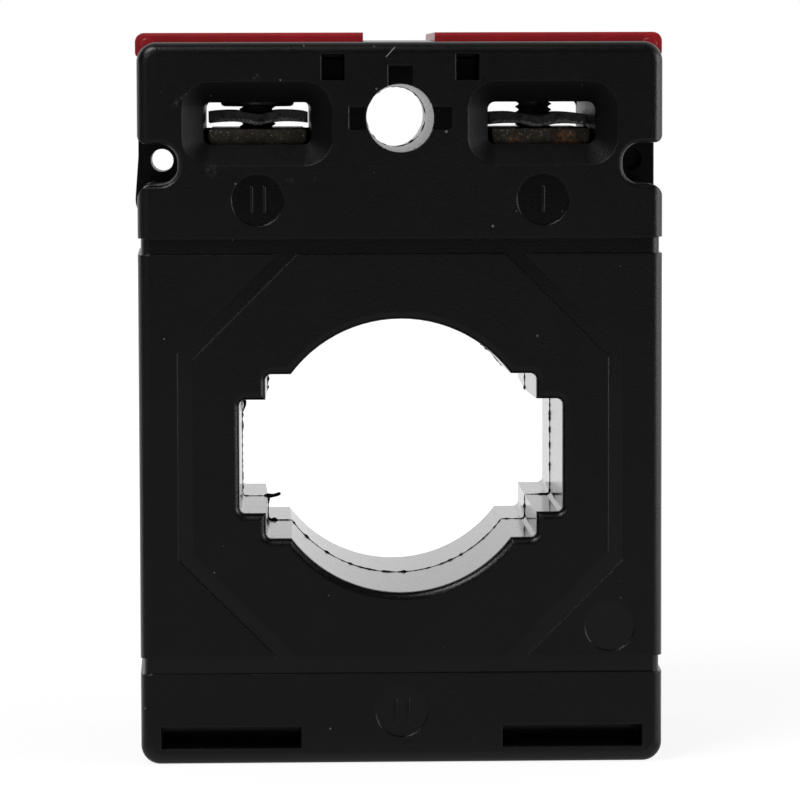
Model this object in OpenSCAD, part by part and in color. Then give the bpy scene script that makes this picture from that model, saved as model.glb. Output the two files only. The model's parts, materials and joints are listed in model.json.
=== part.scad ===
// Moulded-case current transformer: two half shells round a stepped busbar
// aperture, a wound ring core inside, two screw terminals on top under
// hinged covers. Stands on its base; the marked face looks along -Y.

/* [Housing] */
// Width across the marked face
body_w = 70; // [66:1:90]
// Height from base to top
body_h = 96.6; // [94:0.5:120]
// Depth over both shells
body_d = 43; // [38:1:60]
// Thickness of the outer walls
wall = 1.6; // [1.4:0.1:2]
// Outer corner radius seen from the front
corner_r = 2.6; // [2:0.1:4]
// Rounding of the face edges
edge_r = 1.5; // [0.6:0.1:1.8]
// How far each side grows from the face to the parting plane
draft = 0.35; // [0.1:0.01:0.6]

/* [Aperture] */
// Depth of the aperture centre below the middle of the face
ap_drop = 6.9; // [4:0.1:9]
// Diameter of the round bore
bore_d = 36.7; // [30:0.1:38]
// Width of the wide busbar slot
slot_w = 43.2; // [38:0.1:44]
// Height of the wide busbar slot
slot_h = 15.2; // [8:0.1:17]
// Width of the tall busbar slot
tall_w = 36.2; // [30:0.1:37]
// Height of the tall busbar slot
tall_h = 22; // [18:0.1:24]
// Corner radius of the slots
slot_r = 0.8; // [0.5:0.1:1.5]
// Rounding of the aperture lip
lip_r = 1; // [0.5:0.1:1.3]
// Taper of the aperture wall towards the parting plane
ap_draft = 0.3; // [0:0.05:0.5]
// Wall of the tube round the aperture
tube_wall = 1.2; // [1:0.1:1.6]

/* [Face] */
// Distance of each level groove from the aperture centre
band_off = 28.1; // [26:0.1:29]
// Width of the level grooves
band_w = 2.2; // [1.5:0.1:3]
// Depth of all face grooves
groove_d = 0.4; // [0.2:0.05:0.7]
// Outer half width of the eight-sided groove
oct_half = 29.8; // [27:0.1:31]
// Reach of its outer slanted sides
oct_reach = 43.75; // [41:0.1:46]
// Width of the eight-sided groove
oct_groove = 2.05; // [1:0.05:3]
// Diameter of the terminal mark discs
mark_d = 7; // [5:0.1:8]
// Diameter of the bare disc beside the aperture
seal_d = 6.7; // [5:0.1:8]
// Depth of the discs
mark_depth = 0.25; // [0.1:0.05:0.5]

/* [Feet and fixings] */
// Width of each foot slot
foot_w = 18.8; // [12:0.1:20]
// Height of each foot slot
foot_h = 2.95; // [2:0.05:4]
// Depth of each foot slot
foot_depth = 8; // [4:0.5:10]
// Centre of each foot slot from the middle
foot_x = 22.9; // [21:0.1:23]
// Height of the slot centre over the base
foot_z = 3.65; // [3.4:0.05:5]
// Diameter of the fixing hole between the terminals
fix_d = 8.3; // [6:0.1:9]
// Diameter of that hole at the faces
fix_mouth_d = 9.1; // [9:0.1:11]
// Length of its straight middle
fix_len = 12; // [8:1:20]
// Depth of the fixing hole's axis below the top
fix_drop = 10.1; // [9:0.1:13]
// Diameter of the small holes in the side recesses
side_hole_d = 3.1; // [2:0.1:3.5]
// Depth of the side recesses
side_depth = 17; // [14:0.5:18]
// Depth of the side recess axis below the top
side_drop = 16.2; // [16:0.1:18]

/* [Terminals] */
// Distance of each terminal from the middle
term_x = 19; // [18.6:0.1:20]
// Depth of the wire entry's centre below the top
term_drop = 10.8; // [10.4:0.1:12]
// Width of the wire entry
throat_w = 14.4; // [12:0.1:15]
// Height of the wire entry
throat_h = 5.6; // [5:0.1:6.4]
// Corner radius of the wire entry
throat_r = 1; // [0.6:0.1:1.4]
// How far the funnel spreads round the wire entry
funnel_spread = 2.8; // [1.5:0.1:3]
// Depth of the funnel
funnel_depth = 3.6; // [2.5:0.1:4]
// Thickness of the face wall at the terminals
term_wall = 5; // [4.5:0.1:6]
// Width of the contact bar
bar_w = 13.1; // [10:0.1:13.6]
// Thickness of the contact bar
bar_t = 2; // [1.5:0.1:2.5]
// Width of the clamp plate
plate_w = 13.3; // [10:0.1:13.4]
// Length of the clamp plate
plate_len = 19; // [12:0.5:24]
// Thickness of the clamp plate
plate_t = 1.25; // [1:0.05:1.5]
// Rise of the clamp plate's arches over its middle rib
plate_rise = 0.9; // [0.5:0.05:1.2]
// Screw thread diameter
screw_d = 5; // [4:0.5:5]
// Screw length under the head
screw_len = 10; // [8:0.5:10]
// Screw head diameter
head_d = 10.1; // [8:0.1:10.5]
// Screw head height
head_h = 3.2; // [2.5:0.1:3.4]

/* [Covers] */
// Gap between the two covers
cover_gap = 9.6; // [8:0.1:10]
// Thickness of the cover plates
cover_t = 1.35; // [1:0.05:1.8]
// How far the covers stand back from the faces
cover_back = 5.4; // [5.2:0.1:7]
// How far the covers stand out past the sides
cover_proud = 0.3; // [0.1:0.05:0.5]
// Width of the hinge knuckle
knuckle_w = 3.4; // [3:0.1:4]
// Height of the hinge knuckle
knuckle_h = 3.3; // [3:0.1:3.8]
// Diameter of the hinge pins
pin_d = 1.8; // [1.4:0.1:2]

/* [Core and winding] */
// Wall of the core cups
cup_t = 0.4; // [0.3:0.05:0.6]
// Thickness of the winding layer
wind_t = 1.2; // [0.8:0.1:1.4]
// Thickness of the outer tape
tape_t = 0.2; // [0.1:0.05:0.4]
// Diameter of the lead wires
lead_d = 1; // [0.8:0.1:1.2]
// Diameter of the lead sleeves
sleeve_d = 1.8; // [1.6:0.1:2.2]

/* [Hidden] */
$fn = 64;

// Clearances
seat_gap = 0.2;    // loose fit of the wound core in its shells
slip = 0.2;        // end play of the covers
pin_slip = 0.07;   // radial, hinge pin in its hole
thread_slip = 0.05; // radial, screw in the contact bar
peg_slip = 0.05;   // radial, shell pegs in their sockets
nose_slip = 0.1;   // latch noses from the wall that they snap under
eps = 0.5;         // how far cutters reach past a face

half_d = body_d / 2;
half_w = body_w / 2;
ap_z = body_h / 2 - ap_drop;
black = [0.07, 0.07, 0.07];

// Terminals
term_z = body_h - term_drop;
floor_z = term_z - throat_h / 2;
floor_t = 1.5;
chamber_wall = 1.4;
bar_len = body_d - 2 * term_wall - 2 * slip;
ear_w = 0.4;
ear_len = 6;
bar_top = floor_z + bar_t;
screw_hole_d = screw_d + 1.4;

// Rest state of each terminal: plate height over the bar, then gap under the head
s1_rest = [0.1, 1.75];
s2_rest = [0.45, 0.35];

// Covers and their hinges
seat_z = body_h - 0.05;
cover_top = seat_z + cover_t;
cover_x0 = cover_gap / 2;
cover_x1 = half_w + cover_proud;
cover_half_y = half_d - cover_back;
hinge_x = cover_x1 - knuckle_w / 2;
hinge_z = cover_top - knuckle_h / 2;
knuckle_top_r = 1.25;
knuckle_low_r = 0.7;
knuckle_reach = norm([knuckle_w / 2 - knuckle_low_r, knuckle_h / 2 - knuckle_low_r]) + knuckle_low_r;
trough_r = knuckle_reach + slip;
trough_half_y = cover_half_y + slip;
pin_len = 1.6;
window_w = 3.1;
window_h = 3.5;
lintel_h = 1.55;
window_top = seat_z - lintel_h;
hook_x = cover_x0 + 4.15;
hook_w = 2.7;
hook_t = 1.2;
hook_nose = 0.4;
hook_drop = lintel_h + 0.7;
hook_room = 0.4;
hook_wall = 1;

// Core and winding, measured from the aperture axis
pack_ri = norm([slot_w / 2 - slot_r, slot_h / 2 - slot_r]) + slot_r + tube_wall + seat_gap;
pack_ro = half_w - wall - seat_gap;
pack_half = half_d - wall - seat_gap;
wind_in = tape_t;
cup_in = wind_in + wind_t;
core_in = cup_in + cup_t;
lead_y = 8;
lead_foot = ap_z + sqrt(pow(pack_ro - wind_in, 2) - pow(term_x - lead_d / 2, 2)) + 0.05;
wind_gap = 2 * (asin(term_x / (pack_ro - wind_in)) - 2);

// Walls of the pockets behind the foot slots
foot_wall = 1;

// Pegs that join the shells
peg_d = 3;
peg_len = 4;
boss_r = 3;
peg_off = half_w - wall - boss_r - 0.7;

// Side recesses and the fixing hole
side_z = body_h - side_drop;
side_x = half_w - 2.95;
side_r = 2.45;
side_flat = 0.6;
side_hole_rise = 0.25; // of the holes over the recess axis
side_hole_z = side_z + side_hole_rise;
blind_len = 4;
fix_z = body_h - fix_drop;

// Ramped lug on the rear shell's left side, over the web of the recess
lug_proud = 0.86;
lug_y = 0.6;
lug_end = half_d - side_depth;
lug_r = 3.1;
lug_z = side_z - 5.2;
lug_slant = 4.3;
lug_len = 10;

// Marks on the face: two under the wire entries, one under the aperture, a bare one beside it
term_mark_z = term_z - 10.1;
base_mark_z = ap_z - 34.3;
seal_x = half_w - 7.05;
seal_z = ap_z - 23;

// ---------- shared shapes ----------

// Places a shape that is drawn with its depth along Z onto the front face
module at_face(x, z) {
    translate([x, -half_d, z]) rotate([-90, 0, 0]) children();
}

// Sweeps a profile (distance out, depth) round a rectangle w by h
module sweep_rect(w, h, from, to) {
    translate([-w / 2, -h / 2, from]) cube([w, h, to - from]);
    for (sx = [-1, 1], sy = [-1, 1])
        translate([sx * w / 2, sy * h / 2, 0]) rotate_extrude() children();
    for (side = [0, 180]) {
        rotate([0, 0, side]) translate([w / 2, h / 2, 0]) rotate([90, 0, 0])
            linear_extrude(h) children();
        rotate([0, 0, side + 90]) translate([h / 2, w / 2, 0]) rotate([90, 0, 0])
            linear_extrude(w) children();
    }
}

// Outer profile: rounded front edge, then a side that grows with the draft
module block_profile(r, round_r, depth, grow) {
    square([r - round_r, depth]);
    intersection() {
        translate([r - round_r, round_r]) circle(round_r);
        square([r, 2 * round_r]);
    }
    polygon([[0, round_r], [r, round_r], [r + grow, depth], [0, depth]]);
}

// Cutting profile: mouth flared by a round lip, then a wall that closes with the draft
module mouth_profile(r, round_r, depth, close) {
    difference() {
        translate([0, -eps]) square([r + round_r, round_r + eps]);
        translate([r + round_r, round_r]) circle(round_r);
    }
    polygon([[0, round_r], [r, round_r], [r - close, depth], [0, depth]]);
}

// Rectangular mouth with rounded corners and a rounded lip
module mouth(w, h, r, round_r, depth, close) {
    sweep_rect(w - 2 * r, h - 2 * r, -eps, depth) mouth_profile(r, round_r, depth, close);
}

module ring_at_aperture() {
    translate([0, 0, ap_z]) rotate([90, 0, 0]) children();
}

// ---------- shells ----------

// Outer block of one shell, or the same block sunk by an inset
module shell_block(inset = 0) {
    intersection() {
        translate([0, inset, 0]) at_face(0, body_h / 2)
            sweep_rect(body_w - 2 * corner_r, body_h - 2 * corner_r, 0, half_d)
                block_profile(corner_r - inset, edge_r - inset / 2, half_d, draft);
        translate([-body_w, -half_d, 0]) cube([2 * body_w, half_d, 2 * body_h]);
    }
}

// Aperture cutter of one shell: bore and two crossed slots with rounded lips
module aperture_cut() {
    deep = half_d + eps;
    close = ap_draft * deep / half_d;
    at_face(0, ap_z) {
        mouth(slot_w, slot_h, slot_r, lip_r, deep, close);
        mouth(tall_w, tall_h, slot_r, lip_r, deep, close);
        rotate_extrude() mouth_profile(bore_d / 2, lip_r, deep, close);
    }
}

// Tube wall round the aperture
module aperture_tube() {
    grown = 2 * tube_wall;
    r = slot_r + tube_wall;
    at_face(0, ap_z) {
        for (size = [[slot_w, slot_h], [tall_w, tall_h]])
            sweep_rect(size.x + grown - 2 * r, size.y + grown - 2 * r, wall / 2, half_d)
                translate([0, wall / 2]) square([r, half_d - wall / 2]);
        translate([0, 0, wall / 2]) cylinder(d = bore_d + grown, h = half_d - wall / 2);
    }
}

module eight_sided(half, reach) {
    intersection() {
        square([2 * half, 2 * band_off], center = true);
        rotate(45) square(reach * sqrt(2), center = true);
    }
}

// Level grooves that wrap round the sides, and the eight-sided groove between them
module face_grooves() {
    difference() {
        for (side = [-1, 1])
            translate([-body_w, -half_d - eps, ap_z + side * band_off - band_w / 2])
                cube([2 * body_w, half_d + 2 * eps, band_w]);
        shell_block(groove_d);
    }
    at_face(0, ap_z) translate([0, 0, -eps]) linear_extrude(groove_d + eps) difference() {
        eight_sided(oct_half, oct_reach);
        eight_sided(oct_half - oct_groove, oct_reach - oct_groove * sqrt(2));
    }
}

// Funnel and wire entry through the face wall, and the open-topped chamber behind
module terminal_cut() {
    at_face(term_x, term_z) sweep_rect(throat_w - 2 * throat_r, throat_h - 2 * throat_r, -eps,
            term_wall + eps) {
        wide = throat_r + funnel_spread;
        polygon([[0, -eps], [wide + eps / 2, -eps], [wide, 0], [throat_r, funnel_depth],
            [throat_r, term_wall + eps], [0, term_wall + eps]]);
    }
    translate([term_x - throat_w / 2, term_wall - half_d, floor_z])
        cube([throat_w, half_d - term_wall + eps, body_h]);
    translate([term_x, 0, floor_z - floor_t - eps]) cylinder(d = screw_hole_d, h = floor_t + 2 * eps);
    translate([term_x - throat_w / 2 - ear_w, -ear_len / 2 - slip, floor_z])
        cube([throat_w + 2 * ear_w, ear_len + slip, bar_t + slip]);
}

// Seat, hinge trough, pin hole, hook pocket and latch window for one cover
module cover_cut() {
    translate([cover_x0 - slip, -trough_half_y, seat_z])
        cube([body_w, trough_half_y + eps, body_h]);
    translate([hinge_x, -trough_half_y, hinge_z]) rotate([-90, 0, 0])
        cylinder(r = trough_r, h = trough_half_y + eps);
    translate([hinge_x, -trough_half_y, hinge_z - trough_r])
        cube([body_w, trough_half_y + eps, body_h]);
    translate([hinge_x, -trough_half_y - pin_len - slip, hinge_z]) rotate([-90, 0, 0])
        cylinder(d = pin_d + 2 * pin_slip, h = pin_len + slip + eps);
    translate([hook_x, term_wall - half_d, window_top - window_h]) hook_pocket(0);
    translate([hook_x - window_w / 2, -half_d - eps, window_top - window_h])
        cube([window_w, term_wall + 2 * eps, window_h]);
}

// Pocket for one latch hook, open at the top; grown by a wall, it is the box round it
module hook_pocket(grow) {
    w = hook_w + 2 * (hook_room + grow);
    translate([-w / 2, 0, -grow]) cube([w, hook_nose + hook_t + 2 * hook_room + grow, body_h]);
}

// Side recess open to the outside, with a rounded nose and flared ends
module side_cut() {
    reach = 8;
    side_lip = 0.6;
    side_taper = 0.1;
    flares = [[-1, 1.2], [1, 1.9]];
    edge = side_r + side_flat / 2;
    at_face(side_x + reach / 2, side_z)
        sweep_rect(reach, side_flat, -eps, side_depth)
            mouth_profile(side_r, side_lip, side_depth, side_taper);
    for (f = flares)
        translate([half_w, -half_d - eps, side_z]) rotate([-90, 0, 0])
            linear_extrude(side_depth + eps) mirror([0, f[0] < 0 ? 1 : 0]) difference() {
                translate([-f[1], 0]) square([2 * f[1], edge + f[1]]);
                translate([-f[1], edge + f[1]]) circle(f[1]);
            }
}

// Fixing hole with three shallow keyways at its mouth
module fixing_cut() {
    mouth_depth = half_d - fix_len / 2;
    key_depth = 1;
    key_across = [fix_mouth_d + 4.6, 3.1];
    key_down = [3.3, fix_mouth_d / 2 + 2.5];
    at_face(0, fix_z) {
        translate([0, 0, -eps]) cylinder(d = fix_d, h = body_d);
        cylinder(d1 = fix_mouth_d, d2 = fix_d, h = mouth_depth);
        translate([0, 0, -eps]) cylinder(d = fix_mouth_d, h = eps);
        translate([0, 0, -eps]) linear_extrude(key_depth + eps) {
            square(key_across, center = true);
            translate([0, -key_down.y / 2]) square(key_down, center = true);
        }
    }
}

module foot_cut() {
    at_face(foot_x, foot_z) translate([0, 0, foot_depth / 2])
        cube([foot_w, foot_h, foot_depth + 2 * eps], center = true);
}

module mark_disc(x, z, d) {
    at_face(x, z) translate([0, 0, -eps]) cylinder(d = d, h = mark_depth + eps);
}

// Rooms left hollow inside one shell
module shell_rooms() {
    in_w = body_w - 2 * wall;
    core_top = side_z - side_r - side_flat / 2 - wall;
    translate([-in_w / 2, wall - half_d, wall]) cube([in_w, half_d, core_top - wall]);
    at_face(0, ap_z) translate([0, 0, wall]) cylinder(r = pack_ro + seat_gap / 2, h = half_d);
    top_w = 2 * (term_x + throat_w / 2 + chamber_wall);
    translate([-top_w / 2, term_wall - half_d, core_top - eps])
        cube([top_w, half_d, window_top - core_top + eps]);
}

// Walls and bosses that stand inside the rooms
module shell_inside() {
    aperture_tube();
    for (side = [-1, 1]) {
        translate([side * term_x - throat_w / 2 - chamber_wall, wall - half_d, floor_z - floor_t])
            cube([throat_w + 2 * chamber_wall, half_d - wall, seat_z - floor_z + floor_t - eps]);
        translate([side * foot_x - foot_w / 2 - foot_wall, wall / 2 - half_d, wall / 2])
            cube([foot_w + 2 * foot_wall, foot_depth + foot_wall,
                foot_z + foot_h / 2 + foot_wall - wall / 2]);
        intersection() {
            translate([side * hook_x, term_wall - half_d - eps, window_top - window_h])
                hook_pocket(hook_wall);
            translate([-half_w, -half_d, 0]) cube([body_w, half_d, seat_z - eps]);
        }
        for (z = [-1, 1])
            at_face(side * peg_off, ap_z + z * peg_off) translate([0, 0, wall / 2])
                cylinder(r = boss_r, h = half_d - wall / 2);
    }
    at_face(0, fix_z) translate([0, 0, wall])
        cylinder(d = fix_mouth_d + 2 * tube_wall, h = half_d - wall);
}

// One half shell with everything that both shells share
module half_shell() {
    difference() {
        union() {
            difference() {
                shell_block();
                shell_rooms();
            }
            intersection() {
                shell_inside();
                shell_block();
            }
        }
        aperture_cut();
        face_grooves();
        fixing_cut();
        for (side = [0, 1]) mirror([side, 0, 0]) {
            terminal_cut();
            cover_cut();
            side_cut();
            foot_cut();
        }
    }
}

module pegs(d, len) {
    for (x = [-1, 1], z = [-1, 1])
        translate([x * peg_off, -eps, ap_z + z * peg_off]) rotate([-90, 0, 0])
            cylinder(d = d, h = len + eps);
}

// Hole along Y through the web of a side recess
module side_hole(side, from, to) {
    translate([side * side_x, from, side_hole_z]) rotate([-90, 0, 0])
        cylinder(d = side_hole_d, h = to - from);
}

// Lug with a round lower end and a long slant that runs out over the recess
module side_lug() {
    rise = [sin(lug_slant), cos(lug_slant)];
    touch = lug_r * [-rise.y, rise.x];
    top = touch + lug_len * rise;
    translate([lug_r - lug_proud - half_w, lug_end, lug_z]) rotate([90, 0, 0])
        linear_extrude(lug_end - lug_y) {
            circle(lug_r);
            polygon([[0, 0], touch, top, [0, top.y]]);
        }
}

// Holes that let the two leads up into the terminal chambers
module lead_ways() {
    for (side = [-1, 1])
        translate([side * term_x, lead_y, floor_z - floor_t - eps])
            cylinder(d = sleeve_d + 2 * slip, h = floor_t + 2 * eps);
}

module front_shell() {
    color(black) difference() {
        union() {
            half_shell();
            pegs(peg_d, peg_len);
        }
        for (side = [-1, 1]) mark_disc(side * term_x, term_mark_z, mark_d);
        mark_disc(0, base_mark_z, mark_d);
        mark_disc(seal_x, seal_z, seal_d);
        side_hole(-1, -half_d, eps);
        side_hole(1, -half_d, side_depth + blind_len - half_d);
    }
}

module rear_shell() {
    color(black) difference() {
        union() {
            mirror([0, 1, 0]) half_shell();
            side_lug();
        }
        pegs(peg_d + 2 * peg_slip, peg_len + slip);
        side_hole(-1, -eps, half_d);
        lead_ways();
    }
}

// ---------- core and winding ----------

// Ring round the aperture axis with a rectangular section sunk by an inset
module pack_ring(inset) {
    ring_at_aperture() rotate_extrude() pack_section(inset);
}

module pack_section(inset) {
    translate([pack_ri + inset, -pack_half + inset])
        square([pack_ro - pack_ri - 2 * inset, 2 * (pack_half - inset)]);
}

module ring_core() {
    color([0.55, 0.56, 0.58]) pack_ring(core_in);
}

// Half of the plastic case round the core; side -1 is the front half
module core_cup(side) {
    color([0.85, 0.83, 0.75]) intersection() {
        difference() {
            pack_ring(cup_in);
            pack_ring(core_in);
        }
        translate([-body_w, min(0, side * body_d), -eps]) cube([2 * body_w, body_d, body_h]);
    }
}

module secondary_winding() {
    color([0.72, 0.38, 0.16]) ring_at_aperture() rotate([0, 0, 90 + wind_gap / 2])
        rotate_extrude(angle = 360 - wind_gap) difference() {
            pack_section(wind_in);
            pack_section(cup_in);
        }
}

module winding_tape() {
    color([0.85, 0.75, 0.35]) difference() {
        pack_ring(0);
        ring_at_aperture() rotate_extrude() pack_section(wind_in);
        for (side = [-1, 1])
            translate([side * term_x, lead_y, ap_z]) cylinder(d = sleeve_d + slip, h = pack_ro);
    }
}

// Straight lead from the end of the winding up to the bar
module lead(side) {
    color([0.72, 0.38, 0.16]) translate([side * term_x, lead_y, lead_foot])
        cylinder(d = lead_d, h = floor_z - lead_foot);
}

// Sleeve over the lead, from the tape to just under the bar
module lead_sleeve(side) {
    bottom = lead_foot + 1.5;
    color([0.9, 0.9, 0.85]) translate([side * term_x, lead_y, bottom]) difference() {
        cylinder(d = sleeve_d, h = floor_z - 0.5 - bottom);
        translate([0, 0, -eps]) cylinder(d = lead_d + 0.1, h = floor_z);
    }
}

// ---------- terminals ----------

module terminal_bar(x) {
    color([0.45, 0.36, 0.2]) difference() {
        union() {
            translate([x - bar_w / 2, -bar_len / 2, floor_z]) cube([bar_w, bar_len, bar_t]);
            translate([x - throat_w / 2 - ear_w + slip, -ear_len / 2, floor_z])
                cube([throat_w + 2 * ear_w - 2 * slip, ear_len, bar_t]);
        }
        translate([x, 0, floor_z - eps]) cylinder(d = screw_d + 2 * thread_slip, h = bar_t + 2 * eps);
    }
}

// Height of the plate's underside over its lowest line, across the plate
rib_w = 1.9;
edge_fall = 0.25;
function plate_z(x) = plate_rise * (1 - exp(-pow(x / rib_w, 2))) - edge_fall * pow(2 * x / plate_w, 4);

module clamp_plate(x, rest) {
    steps = 24;
    xs = [for (i = [0 : steps]) plate_w * (i / steps - 0.5)];
    color([0.6, 0.6, 0.62]) difference() {
        translate([x, plate_len / 2, bar_top + rest[0]]) rotate([90, 0, 0])
            linear_extrude(plate_len) polygon(concat(
                [for (u = xs) [u, plate_z(u)]],
                [for (i = [steps : -1 : 0]) [xs[i], plate_z(xs[i]) + plate_t]]));
        translate([x, 0, bar_top]) cylinder(d = screw_d + 1, h = rest[0] + plate_rise + plate_t + eps);
    }
}

module clamp_screw(x, rest) {
    head_z = bar_top + rest[0] + plate_rise + plate_t + rest[1];
    bevel = 1;
    point = 0.7;
    cross = [6.4, 1.1];
    cross_depth = 1.8;
    translate([x, 0, head_z]) color([0.75, 0.75, 0.77]) difference() {
        union() {
            cylinder(d = head_d, h = head_h - bevel);
            translate([0, 0, head_h - bevel]) cylinder(d1 = head_d, d2 = head_d - 2.4 * bevel, h = bevel);
            translate([0, 0, point - screw_len]) cylinder(d = screw_d, h = screw_len);
            translate([0, 0, -screw_len]) cylinder(d1 = screw_d - 2 * point, d2 = screw_d, h = point);
        }
        for (turn = [0, 90])
            rotate([0, 0, turn]) translate([-cross.x / 2, -cross.y / 2, head_h - cross_depth])
                cube([cross.x, cross.y, cross_depth + eps]);
    }
}

// ---------- covers ----------

// Section of the right-hand cover across its hinge
module cover_section() {
    corner = knuckle_top_r;
    low = knuckle_low_r;
    translate([cover_x0, seat_z]) square([hinge_x - cover_x0, cover_t]);
    translate([cover_x1 - knuckle_w, cover_top - knuckle_h]) {
        translate([0, knuckle_h / 2]) square([knuckle_w - corner, knuckle_h / 2]);
        translate([knuckle_w - corner, knuckle_h - corner]) circle(corner);
        translate([knuckle_w / 2, low]) square([knuckle_w / 2, knuckle_h - corner - low]);
        translate([knuckle_w - low, low]) circle(low);
        translate([knuckle_w / 2, knuckle_h / 2]) circle(knuckle_h / 2);
        translate([knuckle_w / 2, 0]) square([knuckle_w / 2 - low, knuckle_h / 2]);
    }
}

module cover() {
    round_r = 0.5;
    color([0.65, 0.05, 0.08]) {
        intersection() {
            translate([0, cover_half_y, 0]) rotate([90, 0, 0]) linear_extrude(2 * cover_half_y)
                cover_section();
            rotate([90, 0, 90]) linear_extrude(body_w) cover_end(round_r);
        }
        for (end = [-1, 1])
            translate([hinge_x, end * (cover_half_y - eps), hinge_z]) rotate([-90 * end, 0, 0])
                cylinder(d = pin_d, h = pin_len + eps);
        for (end = [0, 1]) mirror([0, end, 0]) hook();
    }
}

module cover_end(round_r) {
    w = cover_half_y;
    translate([-w, 0]) square([2 * w, cover_top - round_r]);
    translate([round_r - w, 0]) square([2 * (w - round_r), cover_top]);
    for (side = [-1, 1]) translate([side * (w - round_r), cover_top - round_r]) circle(round_r);
}

// Latch hook behind the face wall, with its nose under the lintel of the window
module hook() {
    front = term_wall - half_d + nose_slip;
    tip = seat_z - hook_drop;
    translate([hook_x - hook_w / 2, 0, 0]) rotate([90, 0, 90]) linear_extrude(hook_w) polygon([
        [front + hook_nose, seat_z + eps],
        [front + hook_nose + hook_t, seat_z + eps],
        [front + hook_nose + hook_t, tip],
        [front + hook_nose, tip],
        [front, tip + hook_nose],
        [front, window_top - nose_slip],
        [front + hook_nose, window_top + hook_nose]]);
}

front_shell();
rear_shell();
ring_core();
core_cup(-1);  // core_cup_front
core_cup(1);  // core_cup_rear
secondary_winding();
winding_tape();
lead(1);  // lead_s1
lead(-1);  // lead_s2
lead_sleeve(1);  // lead_sleeve_s1
lead_sleeve(-1);  // lead_sleeve_s2
terminal_bar(term_x);  // terminal_bar_s1
terminal_bar(-term_x);  // terminal_bar_s2
clamp_plate(term_x, s1_rest);  // clamp_plate_s1
clamp_plate(-term_x, s2_rest);  // clamp_plate_s2
clamp_screw(term_x, s1_rest);  // clamp_screw_s1
clamp_screw(-term_x, s2_rest);  // clamp_screw_s2
cover();  // terminal_cover_s1
mirror([1, 0, 0]) cover();  // terminal_cover_s2
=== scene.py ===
"""Dresses a packed current transformer: finishes, moulding flash, marks, terminals, stage and camera."""

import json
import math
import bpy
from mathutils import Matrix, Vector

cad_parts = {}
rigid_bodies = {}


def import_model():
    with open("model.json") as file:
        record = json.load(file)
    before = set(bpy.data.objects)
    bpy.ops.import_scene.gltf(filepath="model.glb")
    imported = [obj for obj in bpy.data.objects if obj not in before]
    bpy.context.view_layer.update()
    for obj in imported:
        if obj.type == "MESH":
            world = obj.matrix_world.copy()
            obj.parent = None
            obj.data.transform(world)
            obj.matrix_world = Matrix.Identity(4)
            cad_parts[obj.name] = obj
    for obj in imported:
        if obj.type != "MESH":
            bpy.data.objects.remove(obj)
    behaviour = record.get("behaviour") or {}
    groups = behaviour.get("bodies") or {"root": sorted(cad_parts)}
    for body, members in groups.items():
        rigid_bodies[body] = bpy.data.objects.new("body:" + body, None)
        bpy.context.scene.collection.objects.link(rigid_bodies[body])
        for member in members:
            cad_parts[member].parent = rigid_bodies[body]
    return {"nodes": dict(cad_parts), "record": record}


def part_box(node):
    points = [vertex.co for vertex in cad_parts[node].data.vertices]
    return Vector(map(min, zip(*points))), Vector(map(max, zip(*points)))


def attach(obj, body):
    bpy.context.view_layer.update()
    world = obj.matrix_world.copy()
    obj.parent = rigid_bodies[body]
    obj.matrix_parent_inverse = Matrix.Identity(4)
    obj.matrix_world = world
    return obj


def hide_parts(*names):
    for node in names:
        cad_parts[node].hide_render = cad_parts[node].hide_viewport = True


bl_info = {
    "name": "Current Transformer Dresser",
    "version": (1, 0, 0),
    "blender": (4, 5, 0),
    "location": "View3D > Sidebar > Transformer",
    "description": "Gives a moulded-case current transformer its finishes and small details",
    "category": "Object",
}

import bmesh
import bpy
from bpy.props import FloatProperty, FloatVectorProperty, PointerProperty
from mathutils import Matrix, Vector, noise

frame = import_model()

MM = 0.001
MOUNTS = {m["name"]: m for m in frame["record"]["mounts"]}
FRONT_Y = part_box("front_shell")[0].y
TOP_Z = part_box("front_shell")[1].z
APERTURE = Vector(MOUNTS["aperture"]["pos_m"])
FIXING = Vector(MOUNTS["fixing_hole"]["pos_m"])
FIXING_R = MOUNTS["fixing_hole"]["dims"]["r_mm"] * MM
SIDES = ("s1", "s2")

# Aperture at the parting plane: radius of the bore, then half width and half height of each slot
BORE_R = 18.05 * MM
SLOTS = ((21.3 * MM, 7.3 * MM), (17.8 * MM, 10.7 * MM))
SLOT_R = 0.5 * MM

# Mark discs in the face: distance from the middle, height, and number of raised strokes
TERMINAL_Z = MOUNTS["terminal_s1"]["pos_m"][2]
DISC_Z = TERMINAL_Z - 10.1 * MM
DISCS = ((19 * MM, DISC_Z, 1), (-19 * MM, DISC_Z, 2), (0.0, APERTURE.z - 34.3 * MM, 2))
DISC_DEPTH = 0.25 * MM


# ---------- settings ----------


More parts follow.
